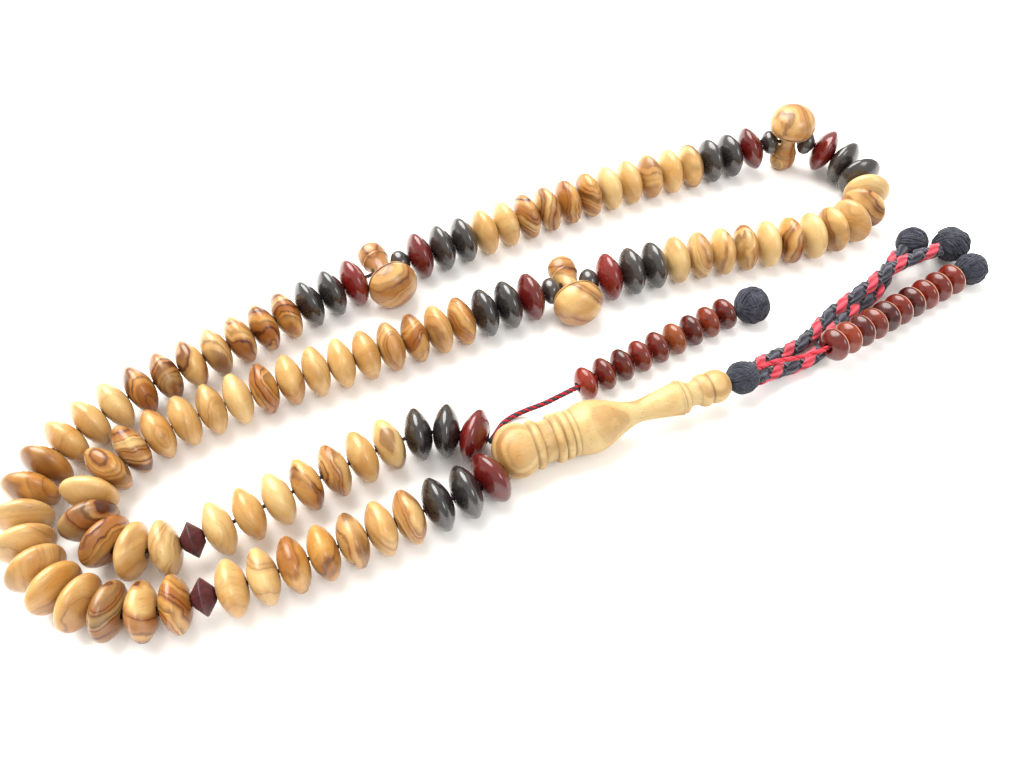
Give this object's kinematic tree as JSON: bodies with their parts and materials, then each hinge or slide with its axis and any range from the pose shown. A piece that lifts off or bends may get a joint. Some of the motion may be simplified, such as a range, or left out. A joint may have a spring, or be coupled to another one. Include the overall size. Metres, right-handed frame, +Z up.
{
  "type": "prayer beads",
  "caption": "String of turned wooden prayer beads with divider beads, a long turned leader bead, and two braids and two strings of counter beads hanging from it.",
  "frame": {"origin": "on the surface that it lies on, under the middle of its bounding box without the braids and counter cords", "axes": "+Z up, +X along the layout's long side towards the end knots, +Y towards the strand with the standing divider"},
  "size_m": [0.225, 0.1526, 0.0194],
  "materials": {
    "olive_wood": "waxed, brown streaks",
    "boxwood": "satin, plain",
    "black_wood": "polished",
    "dark_red_wood": "polished",
    "maroon_wood": "dull",
    "red_brown_wood": "polished",
    "charcoal_thread": "waxed thread",
    "braid_thread": "braided yarn, charcoal with one red strand",
    "twisted_cord": "two-ply twisted thread, red and charcoal"
  },
  "bodies": {
    "string": {"loop_cord": "twisted_cord", "black_beads_leader": "black_wood", "olive_beads_1": "olive_wood", "olive_beads_2": "olive_wood", "black_beads_divider_1": "black_wood", "olive_beads_3": "olive_wood", "black_beads_divider_2": "black_wood", "olive_beads_4": "olive_wood", "black_beads_divider_3": "black_wood", "olive_beads_5": "olive_wood", "olive_beads_6": "olive_wood", "leader_bead": "boxwood", "counter_1_cord": "twisted_cord", "counter_1_knot": "charcoal_thread", "counter_2_cord": "twisted_cord", "counter_2_knot": "charcoal_thread", "collar_knot": "charcoal_thread", "braid_1": "braid_thread", "braid_1_knot": "charcoal_thread", "braid_2": "braid_thread", "braid_2_knot": "charcoal_thread"},
    "red_bead_1": {"red_bead_1": "dark_red_wood"},
    "marker_bead_1": {"marker_bead_1": "maroon_wood"},
    "red_bead_2": {"red_bead_2": "dark_red_wood"},
    "spacer_bead_1": {"spacer_bead_1": "black_wood"},
    "divider_1": {"divider_1": "olive_wood"},
    "spacer_bead_2": {"spacer_bead_2": "black_wood"},
    "red_bead_3": {"red_bead_3": "dark_red_wood"},
    "red_bead_4": {"red_bead_4": "dark_red_wood"},
    "spacer_bead_3": {"spacer_bead_3": "black_wood"},
    "divider_2": {"divider_2": "olive_wood"},
    "spacer_bead_4": {"spacer_bead_4": "black_wood"},
    "red_bead_5": {"red_bead_5": "dark_red_wood"},
    "red_bead_6": {"red_bead_6": "dark_red_wood"},
    "spacer_bead_5": {"spacer_bead_5": "black_wood"},
    "divider_3": {"divider_3": "olive_wood"},
    "red_bead_7": {"red_bead_7": "dark_red_wood"},
    "marker_bead_2": {"marker_bead_2": "maroon_wood"},
    "red_bead_8": {"red_bead_8": "dark_red_wood"},
    "counter_1_bead_1": {"counter_1_bead_1": "red_brown_wood"},
    "counter_1_bead_2": {"counter_1_bead_2": "red_brown_wood"},
    "counter_1_bead_3": {"counter_1_bead_3": "red_brown_wood"},
    "counter_1_bead_4": {"counter_1_bead_4": "red_brown_wood"},
    "counter_1_bead_5": {"counter_1_bead_5": "red_brown_wood"},
    "counter_1_bead_6": {"counter_1_bead_6": "red_brown_wood"},
    "counter_1_bead_7": {"counter_1_bead_7": "red_brown_wood"},
    "counter_1_bead_8": {"counter_1_bead_8": "red_brown_wood"},
    "counter_1_bead_9": {"counter_1_bead_9": "red_brown_wood"},
    "counter_2_bead_1": {"counter_2_bead_1": "red_brown_wood"},
    "counter_2_bead_2": {"counter_2_bead_2": "red_brown_wood"},
    "counter_2_bead_3": {"counter_2_bead_3": "red_brown_wood"},
    "counter_2_bead_4": {"counter_2_bead_4": "red_brown_wood"},
    "counter_2_bead_5": {"counter_2_bead_5": "red_brown_wood"},
    "counter_2_bead_6": {"counter_2_bead_6": "red_brown_wood"},
    "counter_2_bead_7": {"counter_2_bead_7": "red_brown_wood"},
    "counter_2_bead_8": {"counter_2_bead_8": "red_brown_wood"},
    "counter_2_bead_9": {"counter_2_bead_9": "red_brown_wood"},
    "counter_2_bead_10": {"counter_2_bead_10": "red_brown_wood"}
  },
  "joints": [
    {"name": "red_bead_1_spin", "type": "hinge", "parent": "string", "child": "red_bead_1", "pos_m": [-0.01532, -0.02851, 0.006], "axis": [-0.9609, 0.2768, -0.0001], "continuous": true},
    {"name": "marker_bead_1_spin", "type": "hinge", "parent": "string", "child": "marker_bead_1", "pos_m": [-0.07056, -0.05498, 0.006], "axis": [-0.9044, -0.4266, 0], "continuous": true},
    {"name": "red_bead_2_spin", "type": "hinge", "parent": "string", "child": "red_bead_2", "pos_m": [-0.0035, 0.01204, 0.006], "axis": [0.9058, 0.4237, 0], "continuous": true},
    {"name": "spacer_bead_1_spin", "type": "hinge", "parent": "string", "child": "spacer_bead_1", "pos_m": [0.00141, 0.01418, 0.006], "axis": [0.9272, 0.3746, 0], "continuous": true},
    {"name": "divider_1_spin", "type": "hinge", "parent": "string", "child": "divider_1", "pos_m": [0.0061, 0.01594, 0.006], "axis": [-0.9448, -0.3277, 0], "continuous": true},
    {"name": "spacer_bead_2_spin", "type": "hinge", "parent": "string", "child": "spacer_bead_2", "pos_m": [0.01081, 0.01752, 0.006], "axis": [0.9463, 0.3233, 0], "continuous": true},
    {"name": "red_bead_3_spin", "type": "hinge", "parent": "string", "child": "red_bead_3", "pos_m": [0.01583, 0.01929, 0.006], "axis": [0.9402, 0.3407, 0], "continuous": true},
    {"name": "red_bead_4_spin", "type": "hinge", "parent": "string", "child": "red_bead_4", "pos_m": [0.07798, 0.06873, 0.00678], "axis": [-0.8872, 0.3777, 0.2652], "continuous": true},
    {"name": "spacer_bead_3_spin", "type": "hinge", "parent": "string", "child": "spacer_bead_3", "pos_m": [0.07278, 0.07006, 0.00828], "axis": [-0.9781, 0.1176, 0.1715], "continuous": true},
    {"name": "divider_2_spin", "type": "hinge", "parent": "string", "child": "divider_2", "pos_m": [0.0676, 0.07009, 0.0086], "axis": [-0.9984, -0.056, 0], "continuous": true},
    {"name": "spacer_bead_4_spin", "type": "hinge", "parent": "string", "child": "spacer_bead_4", "pos_m": [0.06252, 0.06965, 0.00837], "axis": [-0.9801, -0.1456, -0.1346], "continuous": true},
    {"name": "red_bead_5_spin", "type": "hinge", "parent": "string", "child": "red_bead_5", "pos_m": [0.0573, 0.06848, 0.00707], "axis": [-0.922, -0.2598, -0.2869], "continuous": true},
    {"name": "red_bead_6_spin", "type": "hinge", "parent": "string", "child": "red_bead_6", "pos_m": [-0.03157, 0.02498, 0.006], "axis": [-0.8742, -0.4856, 0], "continuous": true},
    {"name": "spacer_bead_5_spin", "type": "hinge", "parent": "string", "child": "spacer_bead_5", "pos_m": [-0.03621, 0.02233, 0.006], "axis": [-0.86, -0.5103, 0], "continuous": true},
    {"name": "divider_3_spin", "type": "hinge", "parent": "string", "child": "divider_3", "pos_m": [-0.04046, 0.01972, 0.006], "axis": [-0.8436, -0.537, 0], "continuous": true},
    {"name": "red_bead_7_spin", "type": "hinge", "parent": "string", "child": "red_bead_7", "pos_m": [-0.04703, 0.01531, 0.006], "axis": [-0.8192, -0.5735, 0], "continuous": true},
    {"name": "marker_bead_2_spin", "type": "hinge", "parent": "string", "child": "marker_bead_2", "pos_m": [-0.06574, -0.06701, 0.006], "axis": [0.9423, 0.3346, 0], "continuous": true},
    {"name": "red_bead_8_spin", "type": "hinge", "parent": "string", "child": "red_bead_8", "pos_m": [-0.01143, -0.03903, 0.00602], "axis": [0.738, 0.6747, 0.0066], "continuous": true},
    {"name": "counter_1_bead_1_slide", "type": "slide", "parent": "string", "child": "counter_1_bead_1", "axis": [-0.8424, -0.5388, 0], "range_m": [-0.0002, 0.0006]},
    {"name": "counter_1_bead_2_slide", "type": "slide", "parent": "counter_1_bead_1", "child": "counter_1_bead_2", "axis": [-0.8424, -0.5388, 0], "range_m": [-0.0004, 0.0006]},
    {"name": "counter_1_bead_3_slide", "type": "slide", "parent": "counter_1_bead_2", "child": "counter_1_bead_3", "axis": [-0.8424, -0.5388, 0], "range_m": [-0.0004, 0.0006]},
    {"name": "counter_1_bead_4_slide", "type": "slide", "parent": "counter_1_bead_3", "child": "counter_1_bead_4", "axis": [-0.8424, -0.5388, 0], "range_m": [-0.0004, 0.0006]},
    {"name": "counter_1_bead_5_slide", "type": "slide", "parent": "counter_1_bead_4", "child": "counter_1_bead_5", "axis": [-0.8424, -0.5388, 0], "range_m": [-0.0004, 0.0006]},
    {"name": "counter_1_bead_6_slide", "type": "slide", "parent": "counter_1_bead_5", "child": "counter_1_bead_6", "axis": [-0.8424, -0.5388, 0], "range_m": [-0.0004, 0.0006]},
    {"name": "counter_1_bead_7_slide", "type": "slide", "parent": "counter_1_bead_6", "child": "counter_1_bead_7", "axis": [-0.8424, -0.5388, 0], "range_m": [-0.0004, 0.0006]},
    {"name": "counter_1_bead_8_slide", "type": "slide", "parent": "counter_1_bead_7", "child": "counter_1_bead_8", "axis": [-0.8424, -0.5388, 0], "range_m": [-0.0004, 0.0006]},
    {"name": "counter_1_bead_9_slide", "type": "slide", "parent": "counter_1_bead_8", "child": "counter_1_bead_9", "axis": [-0.8424, -0.5388, 0], "range_m": [-0.0004, 0.0012]},
    {"name": "counter_2_bead_1_spin", "type": "hinge", "parent": "string", "child": "counter_2_bead_1", "pos_m": [0.10273, 0.02327, 0.004], "axis": [0.8328, 0.5536, 0], "continuous": true},
    {"name": "counter_2_bead_2_spin", "type": "hinge", "parent": "string", "child": "counter_2_bead_2", "pos_m": [0.09872, 0.0206, 0.004], "axis": [0.8328, 0.5536, 0], "continuous": true},
    {"name": "counter_2_bead_3_spin", "type": "hinge", "parent": "string", "child": "counter_2_bead_3", "pos_m": [0.0947, 0.01793, 0.004], "axis": [0.8307, 0.5567, -0.0079], "continuous": true},
    {"name": "counter_2_bead_4_spin", "type": "hinge", "parent": "string", "child": "counter_2_bead_4", "pos_m": [0.09073, 0.01521, 0.00413], "axis": [0.82, 0.5706, -0.0449], "continuous": true},
    {"name": "counter_2_bead_5_spin", "type": "hinge", "parent": "string", "child": "counter_2_bead_5", "pos_m": [0.0868, 0.01243, 0.00444], "axis": [0.8079, 0.5836, -0.0818], "continuous": true},
    {"name": "counter_2_bead_6_spin", "type": "hinge", "parent": "string", "child": "counter_2_bead_6", "pos_m": [0.08294, 0.00959, 0.00492], "axis": [0.7973, 0.5933, -0.1112], "continuous": true},
    {"name": "counter_2_bead_7_spin", "type": "hinge", "parent": "string", "child": "counter_2_bead_7", "pos_m": [0.07909, 0.00674, 0.00546], "axis": [0.7986, 0.5901, -0.1185], "continuous": true},
    {"name": "counter_2_bead_8_spin", "type": "hinge", "parent": "string", "child": "counter_2_bead_8", "pos_m": [0.07524, 0.00391, 0.00606], "axis": [0.8007, 0.5846, -0.1304], "continuous": true},
    {"name": "counter_2_bead_9_spin", "type": "hinge", "parent": "string", "child": "counter_2_bead_9", "pos_m": [0.07137, 0.0011, 0.00672], "axis": [0.8026, 0.5796, -0.1412], "continuous": true},
    {"name": "counter_2_bead_10_spin", "type": "hinge", "parent": "string", "child": "counter_2_bead_10", "pos_m": [0.06751, -0.00169, 0.0074], "axis": [0.8075, 0.5745, -0.1335], "continuous": true}
  ]
}
